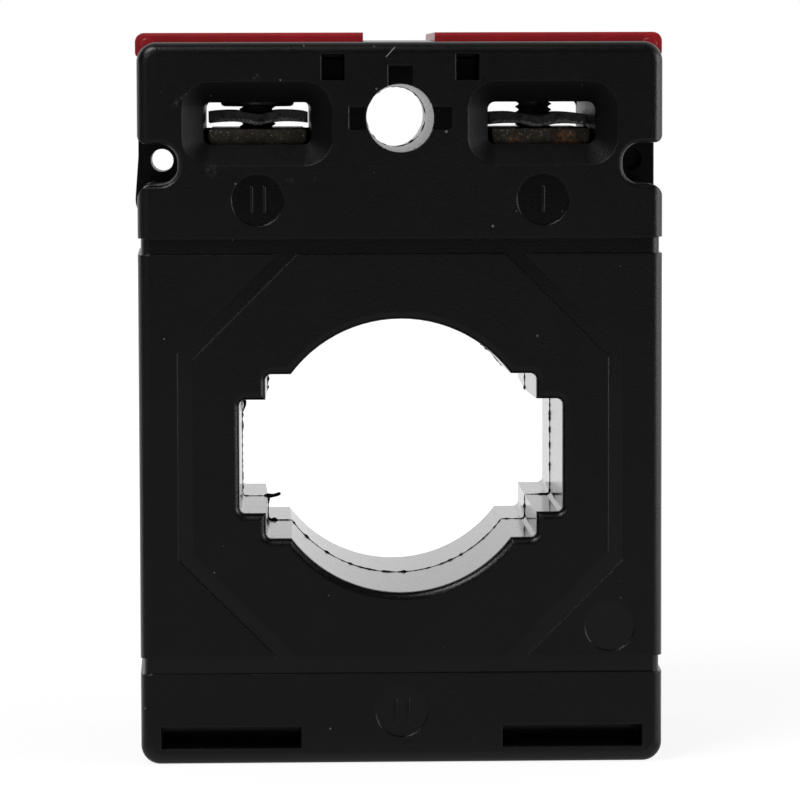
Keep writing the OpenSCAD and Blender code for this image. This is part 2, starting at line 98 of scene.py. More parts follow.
class CaseSettings(bpy.types.PropertyGroup):
    """Finish and fine relief of the black case"""

    colour: FloatVectorProperty(
        name="Case colour", description="Colour of the black moulding", subtype="COLOR",
        size=3, min=0, max=1, default=(0.0019, 0.0018, 0.0017))
    roughness: FloatProperty(
        name="Face roughness", description="How matt the outer faces are", min=0.1, max=0.9, default=0.3)
    wall_roughness: FloatProperty(
        name="Wall roughness", description="How matt the drawn walls of the openings are",
        min=0.05, max=0.9, default=0.14)
    grain: FloatProperty(
        name="Grain size", description="Size of the spark-eroded texture", unit="LENGTH",
        min=0.00005, max=0.001, default=0.00026)
    grain_depth: FloatProperty(
        name="Grain depth", description="Depth of the spark-eroded texture", unit="LENGTH",
        min=0.000001, max=0.0002, default=0.000032)
    edge_break: FloatProperty(
        name="Edge break", description="Radius of the softened moulded edges", unit="LENGTH",
        min=0.00002, max=0.0005, default=0.00022)
    mark_height: FloatProperty(
        name="Mark height", description="Height of the raised strokes", unit="LENGTH",
        min=0.001, max=0.006, default=0.0037)
    mark_stroke: FloatProperty(
        name="Mark stroke", description="Thickness of the raised strokes", unit="LENGTH",
        min=0.0001, max=0.001, default=0.00046)
    flash: FloatProperty(
        name="Flash", description="Usual height of the moulding flash on the parting line", unit="LENGTH",
        min=0.00002, max=0.0005, default=0.00022)


class TerminalSettings(bpy.types.PropertyGroup):
    """Finish of the screw terminals and the covers"""

    cover_colour: FloatVectorProperty(
        name="Cover colour", description="Colour of the terminal covers", subtype="COLOR",
        size=3, min=0, max=1, default=(0.36, 0.006, 0.012))
    bar_colour: FloatVectorProperty(
        name="Bar colour", description="Colour of the darkened contact bars", subtype="COLOR",
        size=3, min=0, max=1, default=(0.085, 0.072, 0.056))
    zinc_colour: FloatVectorProperty(
        name="Zinc colour", description="Colour of the plated steel", subtype="COLOR",
        size=3, min=0, max=1, default=(0.5, 0.5, 0.52))
    thread_pitch: FloatProperty(
        name="Thread pitch", description="Pitch of the clamp screws", unit="LENGTH",
        min=0.0005, max=0.0012, default=0.0008)
    thread_depth: FloatProperty(
        name="Thread depth", description="Depth of the screw thread", unit="LENGTH",
        min=0.0002, max=0.0007, default=0.00045)
    plate_rise: FloatProperty(
        name="Plate rise", description="Rise of the clamp plate's arches over its middle rib", unit="LENGTH",
        min=0.0002, max=0.002, default=0.00055)
    plate_thickness: FloatProperty(
        name="Plate thickness", description="Thickness of the clamp plates", unit="LENGTH",
        min=0.0005, max=0.002, default=0.0015)
    burr: FloatProperty(
        name="Burr", description="Size of the burr left by the shears on the clamp plates", unit="LENGTH",
        min=0.00002, max=0.0004, default=0.0002)


class StageSettings(bpy.types.PropertyGroup):
    """Camera, lamps and floor"""

    lens: FloatProperty(
        name="Lens", description="Focal length on a 36 mm sensor", min=50, max=300, default=192.05)
    camera_place: FloatVectorProperty(
        name="Camera place", description="Where the camera stands", subtype="TRANSLATION", size=3,
        unit="LENGTH", default=(-0.01824, -0.58902, 0.09262))
    camera_turn: FloatVectorProperty(
        name="Camera turn", description="Pitch, roll and yaw of the camera, level and square at zero",
        subtype="EULER", size=3, unit="ROTATION",
        default=(math.radians(-4.397), math.radians(0.155), math.radians(-1.825)))
    overhead: FloatProperty(
        name="Overhead lamp", description="Power of the high lamp in watts", min=0, max=50, default=6.0)
    fill: FloatProperty(
        name="Front fill", description="Power of the low front lamp in watts", min=0, max=50, default=0.5)
    side: FloatProperty(
        name="Side card", description="Power of the card of light on the right in watts",
        min=0, max=50, default=1.5)


# ---------- shader maths ----------


class Value:
    """A shader socket that takes part in plain arithmetic; each operator adds its Math node."""

    def __init__(self, graph, socket):
        self.graph = graph
        self.socket = socket

    def _math(self, operation, first, second):
        return self.graph.node("ShaderNodeMath", {"operation": operation}, [first, second])

    def __add__(self, other):
        return self._math("ADD", self, other)

    def __sub__(self, other):
        return self._math("SUBTRACT", self, other)

    def __mul__(self, other):
        return self._math("MULTIPLY", self, other)

    def __truediv__(self, other):
        return self._math("DIVIDE", self, other)

    def __pow__(self, other):
        return self._math("POWER", self, other)

    def __rsub__(self, other):
        return self._math("SUBTRACT", other, self)

    def __abs__(self):
        return self._math("ABSOLUTE", self, 0.0)

    __radd__ = __add__
    __rmul__ = __mul__

    def least(self, other):
        return self._math("MINIMUM", self, other)

    def most(self, other):
        return self._math("MAXIMUM", self, other)

    def sine(self):
        return self._math("SINE", self, 0.0)

    def ramp(self, low, high):
        """0 below low, 1 above high and smooth between; falls instead where low is over high."""
        return self.graph.node(
            "ShaderNodeMapRange", {"interpolation_type": "SMOOTHSTEP", "clamp": True},
            {"Value": self, "From Min": low, "From Max": high})


class Graph:
    """The node tree of one material or of the world."""

    def __init__(self, tree):
        self.tree = tree
        tree.nodes.clear()

    def node(self, kind, settings=None, sockets=None, output=0):
        """Adds a node: its settings first, then the values or links of its sockets."""
        made = self.tree.nodes.new(kind)
        for name, value in (settings or {}).items():
            setattr(made, name, value)
        pairs = sockets.items() if isinstance(sockets, dict) else enumerate(sockets or [])
        for name, value in pairs:
            socket = made.inputs[name]
            if isinstance(value, Value):
                self.tree.links.new(value.socket, socket)
            else:
                socket.default_value = value
        return Value(self, made.outputs[output] if made.outputs else None)

    def place(self):
        """Position in the row frame, in metres."""
        return self.node("ShaderNodeTexCoord", output="Object")

    def split(self, vector):
        made = self.node("ShaderNodeSeparateXYZ", None, [vector])
        return [Value(self, socket) for socket in made.socket.node.outputs]

    def noise(self, size, detail=2.0, roughness=0.5, stretch=None):
        """Soft noise whose blobs are about size metres across."""
        where = self.place()
        if stretch:
            where = self.node("ShaderNodeVectorMath", {"operation": "MULTIPLY"}, [where, stretch])
        return self.node(
            "ShaderNodeTexNoise", {"noise_dimensions": "3D"},
            {"Vector": where, "Scale": 1 / size, "Detail": detail, "Roughness": roughness})

    def specks(self, spacing, radius, seed=0.0):
        """1 on small round specks of mixed size, one to a cell of the given spacing at most."""
        where = self.node("ShaderNodeVectorMath", {"operation": "ADD"}, [self.place(), (seed, seed, seed)])
        cell = self.node(
            "ShaderNodeTexVoronoi", {"voronoi_dimensions": "3D", "feature": "F1"},
            {"Vector": where, "Scale": 1 / spacing})
        chance = self.split(Value(self, cell.socket.node.outputs["Color"]))[0]
        reach = chance ** 3 * radius
        return (reach * 1.3 - cell * spacing).ramp(0.0, radius * 0.3)

    def near(self, x, z, reach):
        """1 at a point of the face, falling to 0 at reach metres from it."""
        px, _, pz = self.split(self.place())
        across = (px - x) * (px - x) + (pz - z) * (pz - z)
        return across.ramp(reach * reach, 0.0)

    def streak(self, start, end, width):
        """1 along a line on the face between two (x, z) points, falling to 0 over its width."""
        x, _, z = self.split(self.place())
        run = (end[0] - start[0], end[1] - start[1])
        length = math.hypot(*run)
        along_x, along_z = run[0] / length, run[1] / length
        dx, dz = x - start[0], z - start[1]
        along = dx * along_x + dz * along_z
        aside = abs(dz * along_x - dx * along_z)
        inside = along.ramp(-width, width) * along.ramp(length + width, length - width)
        return aside.ramp(width, width * 0.2) * inside

    def mix(self, factor, first, second):
        """Colour that goes from first to second as factor goes from 0 to 1."""
        made = self.node("ShaderNodeMix", {"data_type": "RGBA"})
        mixer = made.socket.node
        sockets = (mixer.inputs[0], mixer.inputs[6], mixer.inputs[7])
        for socket, value in zip(sockets, (factor, first, second)):
            if isinstance(value, Value):
                self.tree.links.new(value.socket, socket)
            elif hasattr(value, "__len__"):
                socket.default_value = (*value[:3], 1.0)
            else:
                socket.default_value = value
        return Value(self, mixer.outputs[2])

    def bump(self, height, distance, strength=1.0, normal=None):
        sockets = {"Height": height, "Distance": distance, "Strength": strength}
        if normal is not None:
            sockets["Normal"] = normal
        return self.node("ShaderNodeBump", None, sockets)

    def soft_edges(self, radius):
        return self.node("ShaderNodeBevel", {"samples": 6}, {"Radius": radius})

    def surface(self, **sockets):
        """Ends the graph in one principled shader."""
        names = {key.replace("_", " ").title().replace("Ior", "IOR"): v for key, v in sockets.items()}
        for name, value in names.items():
            if not isinstance(value, Value) and hasattr(value, "__len__") and len(value) == 3:
                names[name] = (*value, 1.0)
        shader = self.node("ShaderNodeBsdfPrincipled", None, names)
        self.node("ShaderNodeOutputMaterial", None, {"Surface": shader})


def new_material(name):
    material = bpy.data.materials.new(name)
    material.use_nodes = True
    return material, Graph(material.node_tree)


# ---------- finishes ----------


def black_moulding(case):
    """Black moulded plastic: grainy faces, smooth walls in the openings, dust, scuffs and a scratch."""
    material, g = new_material("black_moulding")
    x, y, z = g.split(g.place())
    dz = z - APERTURE.z
    hole_z = z - FIXING.z
    in_aperture = (x * x + dz * dz).ramp((25 * MM) ** 2, (24 * MM) ** 2)
    in_fixing = (x * x + hole_z * hole_z).ramp((5.2 * MM) ** 2, (4.8 * MM) ** 2)
    deep = abs(y).ramp(-FRONT_Y - 1.1 * MM, -FRONT_Y - 1.6 * MM)
    walls = in_aperture.most(in_fixing) * deep
    facing = abs(g.split(g.node("ShaderNodeNewGeometry", output="True Normal"))[1]).ramp(0.97, 0.99)
    funnels = abs(abs(x) - 19 * MM).ramp(12 * MM, 11 * MM) * abs(z - TERMINAL_Z).ramp(8 * MM, 7 * MM)
    slopes = funnels * (1 - facing) * (1 - walls)
    sunk = facing * abs(y).ramp(-FRONT_Y - 0.05 * MM, -FRONT_Y - 0.15 * MM) * (1 - walls)

    blotch = g.noise(9 * MM, 4.0, 0.6)
    fine = g.noise(1.2 * MM, 3.0, 0.6)
    dust = g.specks(3.1 * MM, 0.17 * MM).most(g.specks(1.4 * MM, 0.07 * MM, 0.7) * blotch.ramp(0.5, 0.65))
    scratch = g.streak((-1.88 * MM, 94.6 * MM), (-0.7 * MM, 95.9 * MM), 0.09 * MM)
    scuffs = g.streak((-30.4 * MM, 88.0 * MM), (-27.4 * MM, 90.3 * MM), 0.5 * MM)
    scuffs = scuffs.most(g.near(-25.0 * MM, 79.5 * MM, 1.1 * MM)).most(g.near(-14.7 * MM, 78.3 * MM, 0.6 * MM))
    scuffs = scuffs.most(g.near(-11.6 * MM, 78.4 * MM, 0.5 * MM)).most(g.near(-19.1 * MM, 92.1 * MM, 0.7 * MM))
    scuffs = scuffs * g.noise(0.5 * MM, 3.0, 0.7).ramp(0.48, 0.66)

    colour = g.mix(blotch.ramp(0.35, 0.7), tuple(case.colour), tuple(1.25 * c for c in case.colour))
    colour = g.mix(dust * 0.75, colour, (0.13, 0.13, 0.12))
    colour = g.mix(scuffs * 0.5, colour, (0.05, 0.05, 0.048))
    colour = g.mix(scratch * 0.9, colour, (0.25, 0.25, 0.24))

    pits = g.specks(0.9 * MM, 0.1 * MM, 0.3)
    drawn = g.noise(0.5 * MM, 3.0, 0.6, stretch=(1.0, 0.25, 1.0))
    face_rough = case.roughness + (fine - 0.5) * 0.14 + (blotch - 0.5) * 0.06
    wall_rough = case.wall_roughness + in_fixing * 0.13 + pits * 0.5 + (drawn - 0.5) * 0.12
    rough = face_rough * (1 - walls) * (1 - sunk * 0.55) + wall_rough * walls + (dust + scuffs) * 0.3
    rough = rough + slopes * 0.14

    grain = g.noise(case.grain, 2.5, 0.65) * (1 - walls * (0.93 - in_fixing * 0.5)) * (1 - sunk * 0.8)
    grain = grain * (1 + slopes * 1.2) + drawn * walls * 0.06
    height = grain + dust * 0.8 * (1 - walls) - pits * walls * 0.6
    normal = g.bump(height, case.grain_depth, 1.0, g.soft_edges(case.edge_break))
    g.surface(base_color=colour, roughness=rough, normal=normal)
    return material


def red_gloss(terminal):
    """Red moulded plastic with a soft gloss, faint flow lines, dust and fine rub marks; the latch hooks below the
    cover tops carry painted shade, coloured almost black.
    """
    material, g = new_material("red_gloss")
    flow = g.noise(6 * MM, 3.0, 0.55, stretch=(1.0, 0.25, 1.0))
    rubs = g.noise(0.9 * MM, 3.0, 0.7, stretch=(1.0, 0.2, 1.0))
    base = tuple(terminal.cover_colour)
    x, _, z = g.split(g.place())
    # Painted shade: below the cover tops near the middle, where the latch hooks sit in the windows, the red is
    # mixed to almost black.
    hook_shade = z.ramp(TOP_Z - 0.3 * MM, TOP_Z - 0.8 * MM) * abs(x).ramp(14 * MM, 13 * MM)
    colour = g.mix(flow.ramp(0.3, 0.7), base, tuple(c * 0.8 for c in base))
    colour = g.mix(hook_shade, colour, (0.012, 0.003, 0.003))
    colour = g.mix(g.specks(3.5 * MM, 0.13 * MM, 3.1) * 0.6, colour, (0.5, 0.25, 0.25))
    normal = g.bump(g.noise(0.4 * MM, 2.0), 0.012 * MM, 0.6, g.soft_edges(0.3 * MM))
    g.surface(base_color=colour, roughness=0.26 + rubs * 0.12, normal=normal)
    return material


def zinc_plate(terminal, name="zinc_plate", dark=0.0, roughness=0.3):
    """Zinc-plated steel with cloudy plating and darker stains."""
    material, g = new_material(name)
    cloud = g.noise(1.6 * MM, 4.0, 0.65)
    spots = g.noise(0.4 * MM, 3.0, 0.7)
    base = tuple(c * (1 - dark) for c in terminal.zinc_colour)
    colour = g.mix(cloud.ramp(0.4, 0.75), base, tuple(c * 0.35 for c in base))
    rough = roughness + cloud * 0.2 + spots * 0.1
    normal = g.bump(spots, 0.03 * MM, 0.6, g.soft_edges(0.1 * MM))
    g.surface(base_color=colour, metallic=0.85, roughness=rough, normal=normal)
    return material


def sheared_edge(terminal):
    """Torn bright metal where the plates were cut."""
    material, g = new_material("sheared_edge")
    tear = g.noise(0.25 * MM, 3.0, 0.75)
    colour = g.mix(tear.ramp(0.35, 0.65), (0.92, 0.91, 0.9), (0.3, 0.29, 0.28))
    normal = g.bump(tear, 0.09 * MM, 1.0)
    g.surface(base_color=colour, metallic=0.35, roughness=0.3 + tear * 0.2, normal=normal)
    return material


def dark_bronze(terminal):
    """Oxidised brass of the contact bars, nicked along the top edge and rubbed to copper at one corner."""
    material, g = new_material("dark_bronze")
    _, _, z = g.split(g.place())
    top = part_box("terminal_bar_s1")[1].z
    cloud = g.noise(2.2 * MM, 4.0, 0.6)
    high = z.ramp(top - 1.5 * MM, top - 0.2 * MM)
    nicks = g.noise(0.42 * MM, 3.0, 0.75).ramp(0.6, 0.66) * (0.25 + high * 0.75)
    copper = g.near(22.4 * MM, 83.3 * MM, 1.9 * MM).most(g.near(15.5 * MM, 83.1 * MM, 1.4 * MM) * 0.4)
    copper = copper * g.noise(0.6 * MM, 2.0, 0.6).ramp(0.4, 0.6)
    base = tuple(terminal.bar_colour)
    colour = g.mix(cloud.ramp(0.35, 0.7), base, tuple(c * 0.5 for c in base))
    colour = g.mix(copper * 0.85, colour, (0.42, 0.17, 0.08))
    colour = g.mix(nicks * 0.85, colour, (0.7, 0.66, 0.58))
    normal = g.bump(cloud * 0.5 + nicks * 0.5, 0.08 * MM, 0.8, g.soft_edges(0.15 * MM))
    g.surface(base_color=colour, metallic=0.9, roughness=0.46 - nicks * 0.2, normal=normal)
    return material


def enamelled_copper():
    """Copper wire under a clear amber enamel, wound in fine turns across the ring."""
    material, g = new_material("enamelled_copper")
    tone = g.noise(2 * MM, 2.0)
    x, _, z = g.split(g.place())
    angle = g.node("ShaderNodeMath", {"operation": "ARCTAN2"}, [z - APERTURE.z, x])
    turns = (angle * 210.0).sine()
    colour = g.mix(tone, (0.42, 0.14, 0.05), (0.6, 0.24, 0.09))
    g.surface(base_color=colour, metallic=0.7, roughness=0.32, normal=g.bump(turns, 0.12 * MM, 0.6))
    return material


def wound_strip():
    """Edge of wound silicon-steel strip: fine concentric lines and grey oxide."""
    material, g = new_material("wound_strip")
    x, _, z = g.split(g.place())
    dz = z - APERTURE.z
    layers = ((x * x + dz * dz) ** 0.5 * (2 * math.pi / (0.3 * MM))).sine()
    colour = g.mix(g.noise(3 * MM, 3.0), (0.32, 0.33, 0.35), (0.2, 0.2, 0.21))
    g.surface(base_color=colour, metallic=0.9, roughness=0.45, normal=g.bump(layers, 0.03 * MM, 0.5))
    return material


def natural_plastic(name, light, deep, roughness=0.5):
    """Undyed plastic or film, a little uneven in tone."""
    material, g = new_material(name)
    tone = g.noise(3 * MM, 3.0)
    normal = g.bump(g.noise(0.3 * MM, 2.0), 0.01 * MM, 0.5)
    g.surface(base_color=g.mix(tone, light, deep), roughness=roughness + tone * 0.1, normal=normal)
    return material


def woven_sleeve():
    """Woven insulating sleeve: crossed helical threads."""
    material, g = new_material("woven_sleeve")
    x, y, z = g.split(g.place())
    pitch = 2 * math.pi / (0.6 * MM)
    weave = ((x + y + z) * pitch).sine() * ((z - x - y) * pitch).sine()
    colour = g.mix(weave.ramp(-1.0, 1.0), (0.5, 0.49, 0.45), (0.74, 0.73, 0.69))
    g.surface(base_color=colour, roughness=0.75, normal=g.bump(weave, 0.08 * MM, 0.8))
    return material


# ---------- mesh helpers ----------


def to_mesh(name, bm):
    bmesh.ops.recalc_face_normals(bm, faces=bm.faces)
    mesh = bpy.data.meshes.new(name)
    bm.to_mesh(mesh)
    bm.free()
    return mesh


def add_piece(name, mesh, material, body, smooth=30):
    """Links a finished mesh as a piece that rides on a body; edges over smooth degrees stay sharp."""
    mesh.materials.clear()
    mesh.materials.append(material)
    piece = bpy.data.objects.new(name, mesh)
    bpy.context.scene.collection.objects.link(piece)
    mesh.polygons.foreach_set("use_smooth", [True] * len(mesh.polygons))
    mesh.set_sharp_from_angle(angle=math.radians(smooth))
    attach(piece, body)
    return piece


def shaped(mesh, *modifiers):
    """Applies modifiers, each a type and its settings, to a mesh; a cutter is given as a mesh."""
    links = bpy.context.scene.collection.objects
    carrier = bpy.data.objects.new("carrier", mesh)
    links.link(carrier)
    cutters = []
    for kind, options in modifiers:
        modifier = carrier.modifiers.new(kind.lower(), kind)
        for name, value in options.items():
            if isinstance(value, bpy.types.Mesh):
                value = bpy.data.objects.new("cutter", value)
                links.link(value)
                cutters.append(value)
            setattr(modifier, name, value)
    bpy.context.view_layer.update()
    result = bpy.data.meshes.new_from_object(carrier.evaluated_get(bpy.context.evaluated_depsgraph_get()))
    for spare in (carrier, *cutters):
        spent = spare.data
        bpy.data.objects.remove(spare)
        name = spent.name if spent == mesh else result.name
        bpy.data.meshes.remove(spent)
        result.name = name
    if not result.polygons:
        raise RuntimeError(f"{result.name} came out empty")
    return result


def eased(width, segments=2, angle=35):
    return ("BEVEL", {
        "width": width, "segments": segments, "limit_method": "ANGLE", "angle_limit": math.radians(angle)})


def cut_by(cutter, operation="DIFFERENCE"):
    return ("BOOLEAN", {"operation": operation, "solver": "EXACT", "object": cutter})


def add_prism(bm, outline, y0, y1):
    """A solid whose (x, z) outline is drawn along Y."""
    ends = [[bm.verts.new((x, y, z)) for x, z in outline] for y in (y0, y1)]
    count = len(outline)
    for k in range(count):
        n = (k + 1) % count
        bm.faces.new((ends[0][k], ends[0][n], ends[1][n], ends[1][k]))
    bm.faces.new(ends[0][::-1])
    bm.faces.new(ends[1])


def add_turned(bm, profile, centre, segments=48):
    """A solid of revolution about Z; profile is (radius, height) from its lowest point to its highest."""
    rings = []
    for radius, height in profile:
        steps = segments if radius > 1e-9 else 1
        rings.append([
            bm.verts.new(centre + Vector((radius * math.cos(a), radius * math.sin(a), height)))
            for a in (2 * math.pi * k / steps for k in range(steps))])
    for low, high in zip(rings, rings[1:]):
        for k in range(segments):
            n = (k + 1) % segments
            corners = (low[k % len(low)], low[n % len(low)], high[n % len(high)], high[k % len(high)])
            bm.faces.new(tuple(dict.fromkeys(corners)))


def add_thread(bm, centre, major, depth, pitch, bottom, top, segments=40):
    """A rod with a right-hand V thread and a tapered point."""
    rows = round((top - bottom) / pitch * 8)
    rings = []
    for i in range(rows + 1):
        height = bottom + (top - bottom) * i / rows
        limit = major - depth * 1.6 + (height - bottom) * 1.2
        ring = []
        for k in range(segments):
            turn = k / segments
            from_crest = abs(2 * ((height / pitch - turn) % 1) - 1)
            radius = min(limit, major - depth * min(1, max(0, (0.86 - from_crest) / 0.62)))
            angle = 2 * math.pi * turn
            ring.append(bm.verts.new(
                centre + Vector((radius * math.cos(angle), radius * math.sin(angle), height))))
        rings.append(ring)
    for low, high in zip(rings, rings[1:]):
        for k in range(segments):
            n = (k + 1) % segments
            bm.faces.new((low[k], low[n], high[n], high[k]))
    bm.faces.new(rings[0][::-1])
    bm.faces.new(rings[-1])


def add_tube(bm, points, radii, sides=10):
    """A round tube with rounded ends through points; radii is one radius for each point."""
    rings = []
    count = len(points)
    for i, point in enumerate(points):
        along = (points[min(i + 1, count - 1)] - points[max(i - 1, 0)]).normalized()
        side = along.cross(Vector((0, 1, 0)))
        side = side.normalized() if side.length > 1e-6 else Vector((1, 0, 0))
        up = side.cross(along).normalized()
        rings.append([
            bm.verts.new(point + radii[i] * (math.cos(a) * side + math.sin(a) * up))
            for a in (2 * math.pi * k / sides for k in range(sides))])
    for low, high in zip(rings, rings[1:]):
        for k in range(sides):
            n = (k + 1) % sides
            bm.faces.new((low[k], low[n], high[n], high[k]))
    bm.faces.new(rings[0][::-1])
    bm.faces.new(rings[-1])


def add_fin(bm, points, inwards, heights, thickness, root, closed=False):
    """A thin ragged fin that stands inwards from each point of a line, rooted a little below it."""
    rings = []
    for point, inward, height in zip(points, inwards, heights):
        wide, thin = Vector((0, thickness / 2, 0)), Vector((0, thickness / 5, 0))
        foot, tip = point - root * inward, point + height * inward
        rings.append([bm.verts.new(v) for v in (foot - wide, tip - thin, tip + thin, foot + wide)])
    pairs = list(zip(rings, rings[1:])) + ([(rings[-1], rings[0])] if closed else [])
    for low, high in pairs:
        for k in range(4):
            n = (k + 1) % 4
            bm.faces.new((low[k], low[n], high[n], high[k]))
    if not closed:
        bm.faces.new(rings[0][::-1])
        bm.faces.new(rings[-1])


def rounded_outline(left, right, bottom, top, low_r, top_r, steps=6):
    """Corner points of a rectangle in (x, z) with rounded lower and upper corners."""
    points = []
    corners = (
        (right, top, top_r, 0), (left, top, top_r, 90), (left, bottom, low_r, 180), (right, bottom, low_r, 270))
    for x, z, r, start in corners:
        cx = x - r if x == right else x + r
        cz = z - r if z == top else z + r
        for i in range(steps + 1):
            a = math.radians(start + 90 * i / steps)
            points.append((cx + r * math.cos(a), cz + r * math.sin(a)))
    return points


def aperture_line():
    """Points of the aperture outline on the parting plane, with the way inwards at each."""
    def reach(angle):
        c, s = abs(math.cos(angle)), abs(math.sin(angle))
        best = BORE_R
        for half_w, half_h in SLOTS:
            r = min(half_w / max(c, 1e-9), half_h / max(s, 1e-9))
            corner = (half_w - SLOT_R, half_h - SLOT_R)
            if r * c > corner[0] and r * s > corner[1]:
                along = c * corner[0] + s * corner[1]
                r = along + math.sqrt(max(0, along ** 2 - corner[0] ** 2 - corner[1] ** 2 + SLOT_R ** 2))
            best = max(best, r)
        return best
    count = 1440
    turns = [2 * math.pi * i / count for i in range(count)]
    flat = [Vector((math.cos(a), 0, math.sin(a))) * reach(a) for a in turns]
    points, inwards, last = [], [], None
    for i, point in enumerate(flat):
        if last is not None and (point - last).length < 0.14 * MM:
            continue
        tangent = flat[(i + 1) % count] - flat[i - 1]
        points.append(APERTURE + point)
        inwards.append(Vector((-tangent.z, 0, tangent.x)).normalized())
        last = point
    return points, inwards


# ---------- operators ----------


def settings():
    scene = bpy.context.scene
    return scene.case_settings, scene.terminal_settings, scene.stage_settings


def finish_nodes(names, material):
    for name in names:
        node = frame["nodes"][name]
        node.data.materials.clear()
        node.data.materials.append(material)


class STAGE_OT_build(bpy.types.Operator):
    """Build the floor, the lamps, the surroundings and the camera"""

    bl_idname = "transformer.stage"
    bl_label = "Build the stage"

    def execute(self, context):
        _, _, stage = settings()
        make_floor()
        make_world()
        make_lamps(stage)
        make_camera(stage)
        context.scene.view_settings.view_transform = "Standard"
        return {"FINISHED"}


class CASE_OT_finish(bpy.types.Operator):
    """Give both shells the black moulded finish"""

    bl_idname = "transformer.case_finish"
    bl_label = "Finish the case"

    def execute(self, context):
        case, _, _ = settings()
        finish_nodes(["front_shell", "rear_shell"], black_moulding(case))
        return {"FINISHED"}


class CASE_OT_flash(bpy.types.Operator):
    """Add the moulding flash left on the parting line of the aperture and of the fixing hole"""

    bl_idname = "transformer.case_flash"
    bl_label = "Add the moulding flash"

    def execute(self, context):
        case, _, _ = settings()
        material = bpy.data.materials["black_moulding"]
        bm = bmesh.new()
        points, inwards = aperture_line()
        heights = [case.flash * (0.25 + 0.8 * max(0, 0.4 + noise.noise(p * 1400)) ** 2
                                 + 0.8 * max(0, noise.noise(p * 420) - 0.1)) for p in points]
        add_fin(bm, points, inwards, heights, 0.16 * MM, 0.12 * MM, closed=True)
        steps = 120
        turns = [2 * math.pi * i / steps for i in range(steps)]
        around = [Vector((math.cos(a), 0, math.sin(a))) for a in turns]
        ring = [FIXING + FIXING_R * v for v in around]
        low = [case.flash * (0.1 + 0.9 * max(0, 0.4 + noise.noise(p * 1100))) for p in ring]
        add_fin(bm, ring, [-v for v in around], low, 0.12 * MM, 0.1 * MM, closed=True)
        add_piece("parting_flash", to_mesh("parting_flash", bm), material, "housing")

        bm = bmesh.new()
        club = [
            (-18.5, 33.95, 0.1), (-18.2, 34.0, 0.3), (-17.8, 34.1, 0.36), (-17.4, 34.1, 0.29), (-17.0, 34.14, 0.24),
            (-16.6, 34.24, 0.25), (-16.3, 34.36, 0.25), (-16.14, 34.42, 0.2), (-16.05, 34.45, 0.1)]
        lobe = [
            (-18.0, 34.2, 0.1), (-17.85, 33.9, 0.32), (-17.75, 33.6, 0.24), (-17.68, 33.42, 0.14),
            (-17.64, 33.32, 0.05)]
        blob = [
            (-17.4, 30.6, 0.1), (-17.2, 30.8, 0.2), (-16.9, 30.9, 0.22), (-16.6, 30.8, 0.12), (-16.4, 30.72, 0.05)]
        speck_left = [(-17.75, 49.45, 0.05), (-17.68, 49.3, 0.09), (-17.66, 49.15, 0.1), (-17.7, 49.0, 0.05)]
        speck_right = [(17.82, 49.3, 0.05), (17.74, 49.1, 0.12), (17.72, 48.9, 0.13), (17.78, 48.7, 0.06)]
        wedge = [
            (-21.2, 47.6, 0.2), (-20.95, 47.2, 0.26), (-20.95, 46.7, 0.2), (-21.1, 46.2, 0.12), (-21.2, 45.8, 0.05)]
        for trail in (club, lobe, blob, speck_left, speck_right, wedge):
            add_tube(bm, [Vector((x, 0.0, z)) * MM for x, z, _ in trail], [r * MM for _, _, r in trail])
        add_piece("flash_nubs", to_mesh("flash_nubs", bm), material, "housing", 60)
        return {"FINISHED"}


class CASE_OT_marks(bpy.types.Operator):
    """Raise plain counting strokes in the mark discs of the face"""

    bl_idname = "transformer.case_marks"
    bl_label = "Raise the marks"

    def execute(self, context):
        case, _, _ = settings()
        bm = bmesh.new()
        half, r = case.mark_height / 2, case.mark_stroke / 2
        floor = FRONT_Y + DISC_DEPTH
        for x, z, count in DISCS:
            for k in range(count):
                middle = x + (k - (count - 1) / 2) * 1.7 * MM
                outline = rounded_outline(middle - r, middle + r, z - half, z + half, r * 0.98, r * 0.98, 5)
                add_prism(bm, outline, floor - 0.19 * MM, floor + 0.1 * MM)
        mesh = shaped(to_mesh("face_marks", bm), eased(0.07 * MM, 2))
        add_piece("face_marks", mesh, bpy.data.materials["black_moulding"], "housing")
        return {"FINISHED"}


class TERMINAL_OT_bars(bpy.types.Operator):
    """Make the contact bars with rounded corners, side ears and a nicked, darkened surface"""

    bl_idname = "transformer.bars"
    bl_label = "Make the contact bars"

    def execute(self, context):
        _, terminal, _ = settings()
        material = dark_bronze(terminal)
        ear_half = 3 * MM
        for name in SIDES:
            low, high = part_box(f"terminal_bar_{name}")
            middle = (low.x + high.x) / 2
            half = (high.x - low.x) / 2 - 0.85 * MM
            bar, ears, hole = bmesh.new(), bmesh.new(), bmesh.new()
            add_prism(bar, rounded_outline(middle - half, middle + half, low.z, high.z, 0.75 * MM, 0.3 * MM),
                      low.y, high.y)
            add_prism(ears, rounded_outline(low.x, high.x, low.z, high.z, 0.5 * MM, 0.3 * MM),
                      -ear_half, ear_half)
            add_turned(hole, [(2.55 * MM, -MM), (2.55 * MM, 3 * MM)], Vector((middle, 0, low.z)))
            hole.faces.new([v for v in hole.verts if v.co.z < low.z][::-1])
            hole.faces.new([v for v in hole.verts if v.co.z > low.z])
            mesh = shaped(to_mesh(f"contact_bar_{name}", bar), cut_by(to_mesh("ears", ears), "UNION"),
                          cut_by(to_mesh("hole", hole)), eased(0.18 * MM, 2, 50))
            piece = add_piece(f"contact_bar_{name}", mesh, material, "housing")
            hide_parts(f"terminal_bar_{name}")
        return {"FINISHED"}


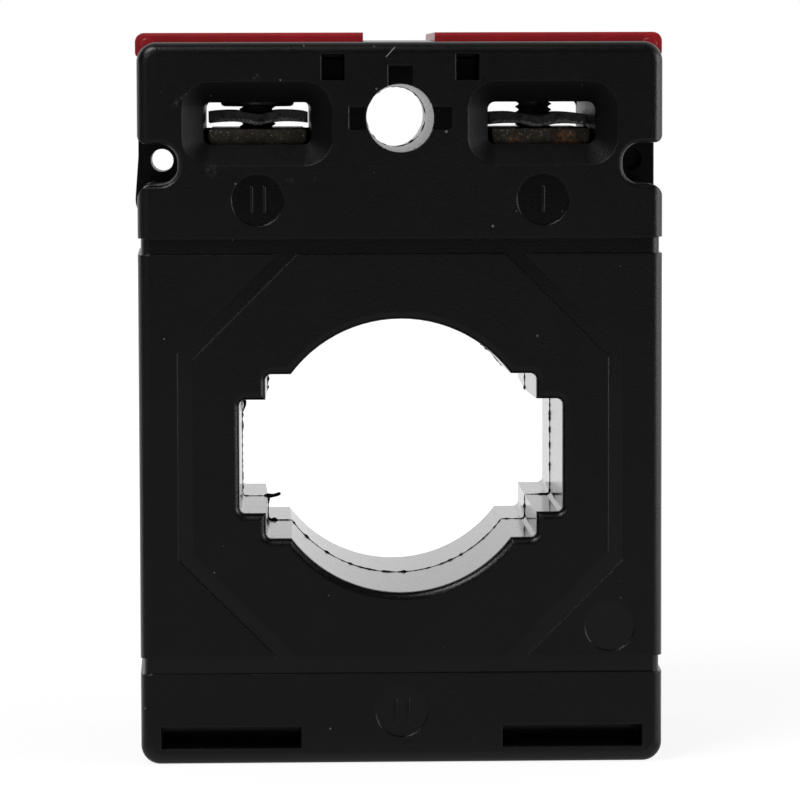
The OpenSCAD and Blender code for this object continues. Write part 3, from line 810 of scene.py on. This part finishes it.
class TERMINAL_OT_plates(bpy.types.Operator):
    """Make the saddle-shaped clamp plates with the torn edge that the shears left"""

    bl_idname = "transformer.plates"
    bl_label = "Make the clamp plates"

    def execute(self, context):
        _, terminal, _ = settings()
        plate_finish = zinc_plate(terminal, "clamp_zinc", 0.45, 0.4)
        edge_finish = sheared_edge(terminal)
        lean = {"s1": (0.5, 0.0), "s2": (-0.2, 1.2)}
        for name in SIDES:
            low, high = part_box(f"clamp_plate_{name}")
            middle = Vector(((low.x + high.x) / 2, 0, low.z))
            tilt, yaw = (math.radians(v) for v in lean[name])
            turn = (Matrix.Translation(middle) @ Matrix.Rotation(yaw, 4, "Z") @ Matrix.Rotation(tilt, 4, "Y"))
            plate = self.plate_mesh(f"saddle_{name}", terminal, low, high)
            edge = self.burr_mesh(f"saddle_edge_{name}", terminal, low, high)
            for mesh, material in ((plate, plate_finish), (edge, edge_finish)):
                mesh.transform(turn)
                piece = add_piece(mesh.name, mesh, material, f"clamp_{name}")
                if mesh is plate:
                    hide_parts(f"clamp_plate_{name}")
        return {"FINISHED"}

    @staticmethod
    def underside(terminal, half_w):
        """Points of the plate's lower line, from its left end to its right one, over the rib."""
        steps = 48
        line = []
        for i in range(steps + 1):
            x = half_w * (2 * i / steps - 1)
            z = terminal.plate_rise * (1 - math.exp(-(x / (1.9 * MM)) ** 2)) - 0.25 * MM * (x / half_w) ** 4
            line.append((x, z))
        return line

    @classmethod
    def plate_mesh(cls, name, terminal, low, high):
        half_w = (high.x - low.x) / 2
        line = cls.underside(terminal, half_w)
        thick = terminal.plate_thickness
        bm, hole = bmesh.new(), bmesh.new()
        add_prism(bm, line + [(x, z + thick) for x, z in reversed(line)], low.y, high.y)
        add_turned(hole, [(3.0 * MM, -MM), (3.0 * MM, 4 * MM)], Vector((0, 0, 0)))
        hole.faces.new([v for v in hole.verts if v.co.z < 0][::-1])
        hole.faces.new([v for v in hole.verts if v.co.z > 0])
        return shaped(to_mesh(name, bm), cut_by(to_mesh("hole", hole)), eased(0.14 * MM, 3, 50))

    @classmethod
    def burr_mesh(cls, name, terminal, low, high):
        """Ragged beads along the lower front and rear edges."""
        half_w = (high.x - low.x) / 2
        bm = bmesh.new()
        size = terminal.burr
        for y, way in ((low.y, -1), (high.y, 1)):
            line = cls.underside(terminal, half_w - 0.25 * MM)
            fine = []
            for a, b in zip(line, line[1:]):
                fine += [(a[0] + (b[0] - a[0]) * t / 3, a[1] + (b[1] - a[1]) * t / 3) for t in range(3)]
            fine.append(line[-1])
            points, radii = [], []
            for i, (x, z) in enumerate(fine):
                at = Vector((x, y, z)) * 1000
                ragged = 1 + 0.9 * noise.noise(at * 2.2) + 0.5 * noise.noise(at * 6.1 + Vector((7, 0, 0)))
                end = min(1, i / 4, (len(fine) - 1 - i) / 4)
                radius = max(0.25, ragged) * size * max(0.15, end)
                lift = 0.12 * MM + radius * 0.6 + 0.06 * MM * noise.noise(at * 1.3)
                points.append(Vector((x, y + way * radius * 0.2, z + lift)))
                radii.append(radius)
            add_tube(bm, points, radii, 8)
        return to_mesh(name, bm)


class TERMINAL_OT_screws(bpy.types.Operator):
    """Make the clamp screws: cross-recessed heads over a threaded shank"""

    bl_idname = "transformer.screws"
    bl_label = "Make the clamp screws"

    def execute(self, context):
        _, terminal, _ = settings()
        material = zinc_plate(terminal)
        turn = {"s1": 20, "s2": -35}
        for name in SIDES:
            low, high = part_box(f"clamp_screw_{name}")
            centre = Vector(((low.x + high.x) / 2, 0, high.z))
            radius = (high.x - low.x) / 2
            head = bmesh.new()
            add_turned(head, [
                (0, -3.2 * MM), (radius - 0.5 * MM, -3.2 * MM), (radius - 0.15 * MM, -3.05 * MM),
                (radius, -2.7 * MM),
                (radius, -1.1 * MM), (radius - 0.2 * MM, -0.6 * MM), (radius - 0.6 * MM, -0.25 * MM),
                (radius - 1.3 * MM, -0.05 * MM), (radius - 2 * MM, 0), (0, 0)], centre, 64)
            arms = []
            for angle, width in ((0, 1.25 * MM), (90, 1.1 * MM)):
                arm = bmesh.new()
                self.add_arm(arm, centre, math.radians(angle + turn[name]), width)
                arms.append(cut_by(to_mesh("recess", arm)))
            head_mesh = shaped(to_mesh("head", head), *arms, eased(0.08 * MM, 2, 50))
            shank = bmesh.new()
            shank.from_mesh(head_mesh)
            rod = bmesh.new()
            add_thread(rod, centre, 2.5 * MM, terminal.thread_depth, terminal.thread_pitch,
                       low.z - high.z, -3.0 * MM)
            rod_mesh = to_mesh("rod", rod)
            shank.from_mesh(rod_mesh)
            mesh = bpy.data.meshes.new(f"saddle_screw_{name}")
            shank.to_mesh(mesh)
            shank.free()
            piece = add_piece(f"saddle_screw_{name}", mesh, material, f"screw_{name}")
            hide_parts(f"clamp_screw_{name}")
        return {"FINISHED"}

    @staticmethod
    def add_arm(bm, centre, angle, width):
        """One tapering bar of the cross recess."""
        spin = Matrix.Rotation(angle, 3, "Z")
        rings = []
        for half_l, half_w, z in ((2.6 * MM, width * 0.38, -1.8 * MM), (3.3 * MM, width * 0.5, 0.3 * MM)):
            rings.append([
                bm.verts.new(centre + spin @ Vector((sx * half_l, sy * half_w, z)))
                for sx, sy in ((-1, -1), (1, -1), (1, 1), (-1, 1))])
        for k in range(4):
            n = (k + 1) % 4
            bm.faces.new((rings[0][k], rings[0][n], rings[1][n], rings[1][k]))
        bm.faces.new(rings[0][::-1])
        bm.faces.new(rings[1])


class COVER_OT_finish(bpy.types.Operator):
    """Give the hinged covers their red finish"""

    bl_idname = "transformer.cover_finish"
    bl_label = "Finish the covers"

    def execute(self, context):
        _, terminal, _ = settings()
        finish_nodes(["terminal_cover_s1", "terminal_cover_s2"], red_gloss(terminal))
        return {"FINISHED"}


class CORE_OT_finish(bpy.types.Operator):
    """Finish the wound core, its cups, the winding, its tape and the leads"""

    bl_idname = "transformer.core_finish"
    bl_label = "Finish the core and winding"

    def execute(self, context):
        finish_nodes(["secondary_winding", "lead_s1", "lead_s2"], enamelled_copper())
        finish_nodes(["lead_sleeve_s1", "lead_sleeve_s2"], woven_sleeve())
        finish_nodes(["ring_core"], wound_strip())
        cup = natural_plastic("core_cup", (0.6, 0.57, 0.46), (0.5, 0.47, 0.37))
        finish_nodes(["core_cup_front", "core_cup_rear"], cup)
        tape = natural_plastic("winding_tape", (0.55, 0.38, 0.08), (0.45, 0.3, 0.06), 0.3)
        finish_nodes(["winding_tape"], tape)
        return {"FINISHED"}


# ---------- stage ----------


def make_floor():
    """Pale floor that shows white to the camera but keeps the soft shadow."""
    reach = 1.5
    mesh = bpy.data.meshes.new("floor")
    corners = [(-reach, -reach, 0), (reach, -reach, 0), (reach, reach, 0), (-reach, reach, 0)]
    mesh.from_pydata(corners, [], [(0, 1, 2, 3)])
    floor = bpy.data.objects.new("floor", mesh)
    bpy.context.scene.collection.objects.link(floor)
    material, g = new_material("pale_floor")
    path = g.node("ShaderNodeLightPath").socket.node
    seen = [Value(g, path.outputs[n]) for n in ("Is Camera Ray", "Is Glossy Ray", "Is Transmission Ray")]
    shown = seen[0].most(seen[1]).most(seen[2])
    x, y, _ = g.split(g.place())
    away = (x * x + y * y).ramp(0.09 ** 2, 0.3 ** 2)
    mirrored_front = seen[1] * y.ramp(0.02, -0.04)
    matt = g.node("ShaderNodeBsdfDiffuse", None, {"Color": (0.8, 0.8, 0.8, 1)})
    shade = g.node("ShaderNodeBsdfDiffuse", None, {"Color": (0.2, 0.2, 0.2, 1)})
    glow = g.node("ShaderNodeEmission", None, {
        "Color": (1, 1, 1, 1), "Strength": (0.86 + away * 0.14) * (1 - mirrored_front * 0.9)})
    pale = g.node("ShaderNodeAddShader", None, [shade, glow])
    mixed = g.node("ShaderNodeMixShader", None, [shown, matt, pale])
    g.node("ShaderNodeOutputMaterial", None, {"Surface": mixed})
    mesh.materials.append(material)


def make_world():
    """White backdrop behind and to the right, and a dim room in front; even soft light on matt surfaces."""
    world = bpy.data.worlds.new("studio")
    bpy.context.scene.world = world
    world.use_nodes = True
    g = Graph(world.node_tree)
    x, y, z = g.split(g.node("ShaderNodeTexCoord", output="Generated"))
    backdrop = (y + x * 0.3).ramp(-0.12, 0.3)
    above = z.ramp(0.3, 0.9)
    mirrored = 0.02 + backdrop * (0.98 - above * 0.6)
    path = g.node("ShaderNodeLightPath").socket.node
    camera, glossy, clear = (
        Value(g, path.outputs[n]) for n in ("Is Camera Ray", "Is Glossy Ray", "Is Transmission Ray"))
    plain = camera.most(clear)
    lit = 0.42 * (1 - glossy) + mirrored * glossy
    light = g.node("ShaderNodeBackground", None, {
        "Color": (1, 1, 1, 1), "Strength": plain + (1 - plain) * lit})
    g.node("ShaderNodeOutputWorld", None, {"Surface": light})


def make_lamps(stage):
    """A high lamp, a low front one for the terminals and a soft card of light on the right."""
    target = Vector((0, 0, TOP_Z / 2))
    for name, place, size, power in (
        ("overhead", (-0.5, -0.6, 1.0), 0.5, stage.overhead),
        ("front_fill", (-0.5, -0.85, 0.42), 0.18, stage.fill),
        ("side_card", (0.56, -0.2, 0.12), 0.4, stage.side),
    ):
        data = bpy.data.lights.new(name, "AREA")
        data.size = size
        data.energy = power
        lamp = bpy.data.objects.new(name, data)
        lamp.location = place
        lamp.rotation_euler = (target - Vector(place)).to_track_quat("-Z", "Y").to_euler()
        bpy.context.scene.collection.objects.link(lamp)


def make_camera(stage):
    pitch, roll, yaw = stage.camera_turn
    turn = Matrix.Rotation(yaw, 3, "Z") @ Matrix.Rotation(pitch, 3, "X") @ Matrix.Rotation(roll, 3, "Y")
    right, forward, up = (turn @ Vector(axis) for axis in ((1, 0, 0), (0, 1, 0), (0, 0, 1)))
    data = bpy.data.cameras.new("camera")
    data.lens = stage.lens
    data.sensor_width = 36.0
    camera = bpy.data.objects.new("camera", data)
    columns = Matrix((right, up, -forward)).transposed()
    camera.matrix_world = Matrix.Translation(Vector(stage.camera_place)) @ columns.to_4x4()
    bpy.context.scene.collection.objects.link(camera)
    bpy.context.scene.camera = camera


# ---------- panel and registration ----------


STEPS = (
    STAGE_OT_build, CASE_OT_finish, CASE_OT_flash, CASE_OT_marks, TERMINAL_OT_bars, TERMINAL_OT_plates,
    TERMINAL_OT_screws, COVER_OT_finish, CORE_OT_finish)


class VIEW3D_PT_transformer(bpy.types.Panel):
    """Settings and steps of the current transformer"""

    bl_label = "Current transformer"
    bl_space_type = "VIEW_3D"
    bl_region_type = "UI"
    bl_category = "Transformer"

    def draw(self, context):
        layout = self.layout
        scene = context.scene
        for group in (scene.case_settings, scene.terminal_settings, scene.stage_settings):
            box = layout.box()
            for name in group.__annotations__:
                box.prop(group, name)
        for step in STEPS:
            layout.operator(step.bl_idname)


CLASSES = (CaseSettings, TerminalSettings, StageSettings, *STEPS, VIEW3D_PT_transformer)


def register():
    for cls in CLASSES:
        bpy.utils.register_class(cls)
    bpy.types.Scene.case_settings = PointerProperty(type=CaseSettings)
    bpy.types.Scene.terminal_settings = PointerProperty(type=TerminalSettings)
    bpy.types.Scene.stage_settings = PointerProperty(type=StageSettings)


def unregister():
    for name in ("stage_settings", "terminal_settings", "case_settings"):
        delattr(bpy.types.Scene, name)
    for cls in reversed(CLASSES):
        bpy.utils.unregister_class(cls)


def main():
    register()
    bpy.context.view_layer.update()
    bpy.ops.transformer.stage()
    bpy.ops.transformer.case_finish()
    bpy.ops.transformer.case_flash()
    bpy.ops.transformer.case_marks()
    bpy.ops.transformer.bars()
    bpy.ops.transformer.plates()
    bpy.ops.transformer.screws()
    bpy.ops.transformer.cover_finish()
    bpy.ops.transformer.core_finish()


if __name__ == "__main__":
    main()
